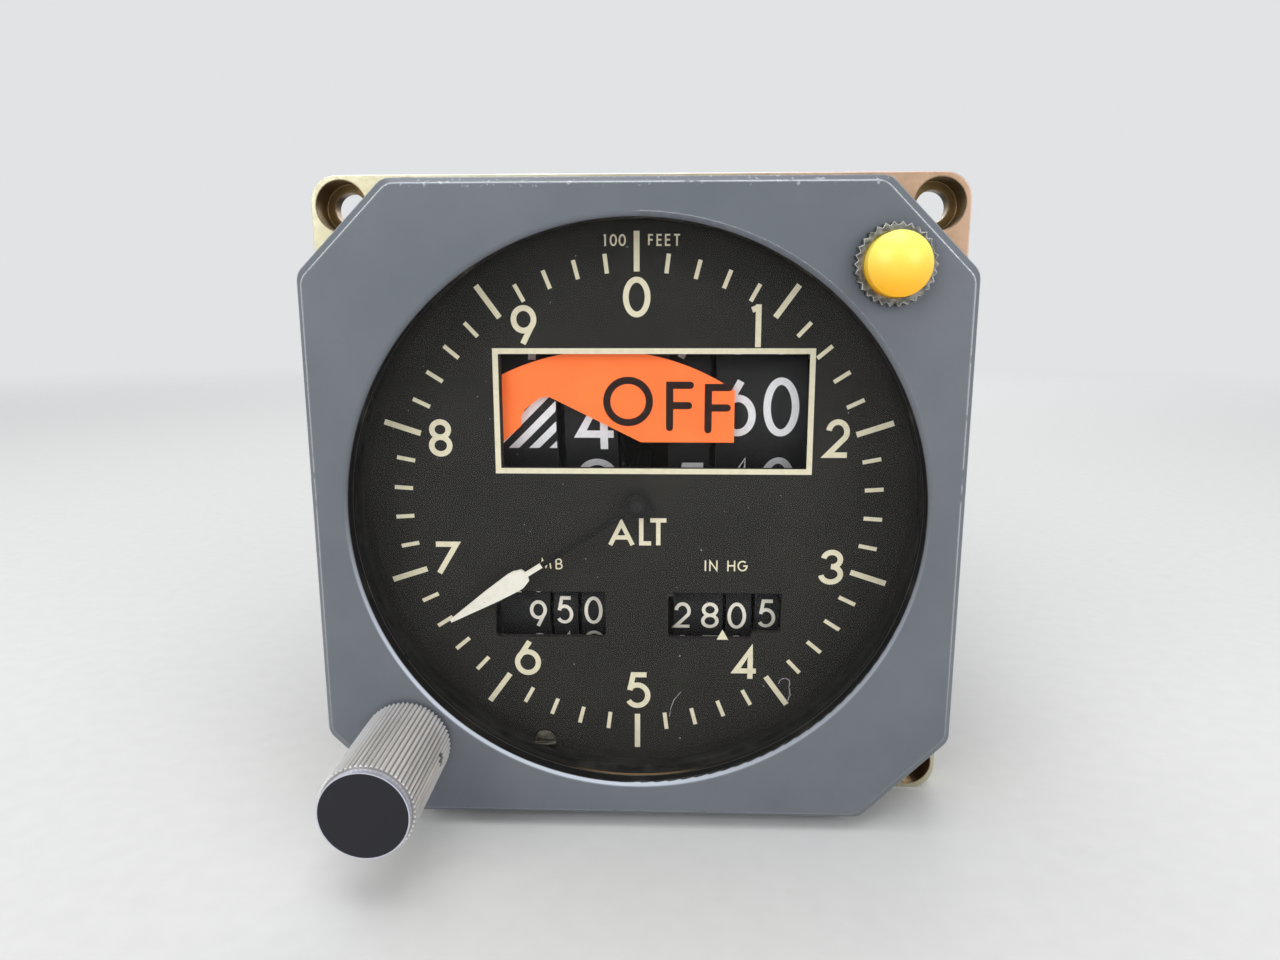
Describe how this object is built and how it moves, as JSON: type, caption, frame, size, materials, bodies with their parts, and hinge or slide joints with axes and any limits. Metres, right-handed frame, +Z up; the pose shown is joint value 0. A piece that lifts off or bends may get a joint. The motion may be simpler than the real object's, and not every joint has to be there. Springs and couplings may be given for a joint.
{
  "type": "aircraft altimeter",
  "caption": "Panel-mounted servo altimeter: square bezel with cut corners, round dial, counter drums, pointer, warning flag, baro setting knob and amber lamp.",
  "frame": {"origin": "on the dial axis, at the rear face of the mounting flange, which seats on the panel", "axes": "+Z up, +Y from the dial towards the rear connector, +X to the right of someone reading the dial"},
  "size_m": [0.0868, 0.203, 0.0868],
  "materials": {
    "bezel_paint": "satin grey paint, worn at the edges",
    "flange_plating": "golden conversion coating",
    "case_paint": "crackle-free satin black paint",
    "clear_glass": "clear",
    "gasket": "matt",
    "black_paint": "matt black paint",
    "dial_paint": "matt charcoal paint with cream print",
    "pointer_paint": "matt white paint",
    "drum_plastic": "matt black with white figures",
    "flag_paint": "fluorescent orange paint",
    "knob_metal": "bare fluted metal",
    "lamp_amber": "translucent amber",
    "lamp_metal": "dull",
    "steel": "turned",
    "brass": "cut teeth",
    "plate_alloy": "machined",
    "board": "lacquered laminate",
    "black_plastic": "moulded",
    "connector_olive": "olive plated",
    "bulb_glass": "clear",
    "screw_dull": "dull plated"
  },
  "bodies": {
    "housing": {"bezel": "bezel_paint", "mounting_flange": "flange_plating", "bezel_screws": "steel", "cover_glass": "clear_glass", "glass_gasket": "gasket", "dial_ring": "black_paint", "dial_plate": "dial_paint", "dial_screw": "screw_dull", "pointer_bush": "brass", "lamp_ring": "lamp_metal", "lamp_socket": "lamp_metal", "lamp_bulb": "bulb_glass", "knob_bush": "steel", "frame_posts": "steel", "left_side_plate": "plate_alloy", "right_side_plate": "plate_alloy", "centre_bracket": "plate_alloy", "gear_plate": "plate_alloy", "motor_plate": "plate_alloy", "aux_bracket": "plate_alloy", "altitude_axle": "steel", "altitude_transfer_shaft": "black_plastic", "baro_axle": "steel", "baro_transfer_shaft": "black_plastic", "flag_motor": "black_plastic", "baro_potentiometer": "black_plastic", "servo_motor": "steel", "feedback_synchro": "steel", "amplifier_board": "board", "board_components": "black_plastic", "case_shell": "case_paint", "case_screws": "steel", "rear_cover": "case_paint", "rear_screws": "steel", "connector_shell": "connector_olive", "connector_insert": "black_plastic"},
    "pointer": {"pointer": "pointer_paint", "pointer_shaft": "steel", "crown_wheel": "brass", "main_gear": "brass"},
    "cross_shaft": {"cross_shaft": "steel", "cross_gear": "brass"},
    "motor_rotor": {"motor_rotor": "steel"},
    "tens_drum": {"tens_drum": "drum_plastic"},
    "hundreds_drum": {"hundreds_drum": "drum_plastic"},
    "thousands_drum": {"thousands_drum": "drum_plastic"},
    "ten_thousands_drum": {"ten_thousands_drum": "drum_plastic"},
    "knob": {"knob": "knob_metal", "knob_cap": "black_paint", "knob_shaft": "steel"},
    "countershaft": {"baro_countershaft": "brass"},
    "layshaft": {"baro_layshaft": "brass"},
    "mb_units_drum": {"mb_units_drum": "drum_plastic"},
    "mb_tens_drum": {"mb_tens_drum": "drum_plastic"},
    "mb_hundreds_drum": {"mb_hundreds_drum": "drum_plastic"},
    "hg_hundredths_drum": {"hg_hundredths_drum": "drum_plastic"},
    "hg_tenths_drum": {"hg_tenths_drum": "drum_plastic"},
    "hg_inches_drum": {"hg_inches_drum": "drum_plastic"},
    "off_flag": {"off_flag": "flag_paint"},
    "lamp_cap": {"lamp_cap": "lamp_amber"}
  },
  "joints": [
    {"name": "tens_drum_turn", "type": "hinge", "parent": "housing", "child": "tens_drum", "pos_m": [0, 0.0116, 0.0125], "axis": [1, 0, 0], "continuous": true},
    {"name": "hundreds_drum_turn", "type": "hinge", "parent": "housing", "child": "hundreds_drum", "pos_m": [0, 0.0116, 0.0125], "axis": [1, 0, 0], "continuous": true},
    {"name": "thousands_drum_turn", "type": "hinge", "parent": "housing", "child": "thousands_drum", "pos_m": [0, 0.0116, 0.0125], "axis": [1, 0, 0], "continuous": true},
    {"name": "ten_thousands_drum_turn", "type": "hinge", "parent": "housing", "child": "ten_thousands_drum", "pos_m": [0, 0.0116, 0.0125], "axis": [1, 0, 0], "continuous": true},
    {"name": "pointer_turn", "type": "hinge", "parent": "housing", "child": "pointer", "pos_m": [0, 0, 0], "axis": [0, 1, 0], "continuous": true},
    {"name": "cross_shaft_turn", "type": "hinge", "parent": "housing", "child": "cross_shaft", "pos_m": [0, 0.03209, 0], "axis": [1, 0, 0], "continuous": true},
    {"name": "motor_turn", "type": "hinge", "parent": "housing", "child": "motor_rotor", "pos_m": [-0.01697, 0, -0.01697], "axis": [0, 1, 0], "continuous": true},
    {"name": "knob_turn", "type": "hinge", "parent": "housing", "child": "knob", "pos_m": [-0.0305, 0, -0.031], "axis": [0, 1, 0], "continuous": true},
    {"name": "countershaft_turn", "type": "hinge", "parent": "housing", "child": "countershaft", "pos_m": [-0.03, 0, -0.01901], "axis": [0, 1, 0], "continuous": true},
    {"name": "layshaft_turn", "type": "hinge", "parent": "housing", "child": "layshaft", "pos_m": [0, 0.01302, -0.01901], "axis": [1, 0, 0], "continuous": true},
    {"name": "mb_units_turn", "type": "hinge", "parent": "housing", "child": "mb_units_drum", "pos_m": [0, 0.0021, -0.0165], "axis": [1, 0, 0], "continuous": true},
    {"name": "mb_tens_turn", "type": "hinge", "parent": "housing", "child": "mb_tens_drum", "pos_m": [0, 0.0021, -0.0165], "axis": [1, 0, 0], "continuous": true},
    {"name": "mb_hundreds_turn", "type": "hinge", "parent": "housing", "child": "mb_hundreds_drum", "pos_m": [0, 0.0021, -0.0165], "axis": [1, 0, 0], "continuous": true},
    {"name": "hg_hundredths_turn", "type": "hinge", "parent": "housing", "child": "hg_hundredths_drum", "pos_m": [0, 0.0021, -0.0165], "axis": [1, 0, 0], "continuous": true},
    {"name": "hg_tenths_turn", "type": "hinge", "parent": "housing", "child": "hg_tenths_drum", "pos_m": [0, 0.0021, -0.0165], "axis": [1, 0, 0], "continuous": true},
    {"name": "hg_inches_turn", "type": "hinge", "parent": "housing", "child": "hg_inches_drum", "pos_m": [0, 0.0021, -0.0165], "axis": [1, 0, 0], "continuous": true},
    {"name": "flag_swing", "type": "hinge", "parent": "housing", "child": "off_flag", "pos_m": [-0.027, 0, -0.0021], "axis": [0, -1, 0], "range_deg": [0, 38], "stiffness_Nm_per_rad": 0.0004, "springref_deg": -28.65},
    {"name": "lamp_press", "type": "slide", "parent": "housing", "child": "lamp_cap", "axis": [0, 1, 0], "range_m": [0, 0.0012], "stiffness_N_per_m": 500, "springref_m": -0.001}
  ],
  "couplings": [
    {"joint": "hundreds_drum_turn", "follows": "tens_drum_turn", "ratio": 0.2},
    {"joint": "thousands_drum_turn", "follows": "tens_drum_turn", "ratio": 0.02},
    {"joint": "ten_thousands_drum_turn", "follows": "tens_drum_turn", "ratio": 0.002},
    {"joint": "pointer_turn", "follows": "tens_drum_turn", "ratio": 0.2},
    {"joint": "cross_shaft_turn", "follows": "tens_drum_turn", "ratio": -0.5},
    {"joint": "motor_turn", "follows": "tens_drum_turn", "ratio": -0.8},
    {"joint": "countershaft_turn", "follows": "knob_turn", "ratio": -0.66667},
    {"joint": "layshaft_turn", "follows": "knob_turn", "ratio": -2.6667},
    {"joint": "mb_units_turn", "follows": "knob_turn", "ratio": 1.3333},
    {"joint": "mb_tens_turn", "follows": "knob_turn", "ratio": 0.13333},
    {"joint": "mb_hundreds_turn", "follows": "knob_turn", "ratio": 0.013333},
    {"joint": "hg_hundredths_turn", "follows": "knob_turn", "ratio": 3.9365},
    {"joint": "hg_tenths_turn", "follows": "knob_turn", "ratio": 0.39365},
    {"joint": "hg_inches_turn", "follows": "knob_turn", "ratio": 0.039365}
  ]
}
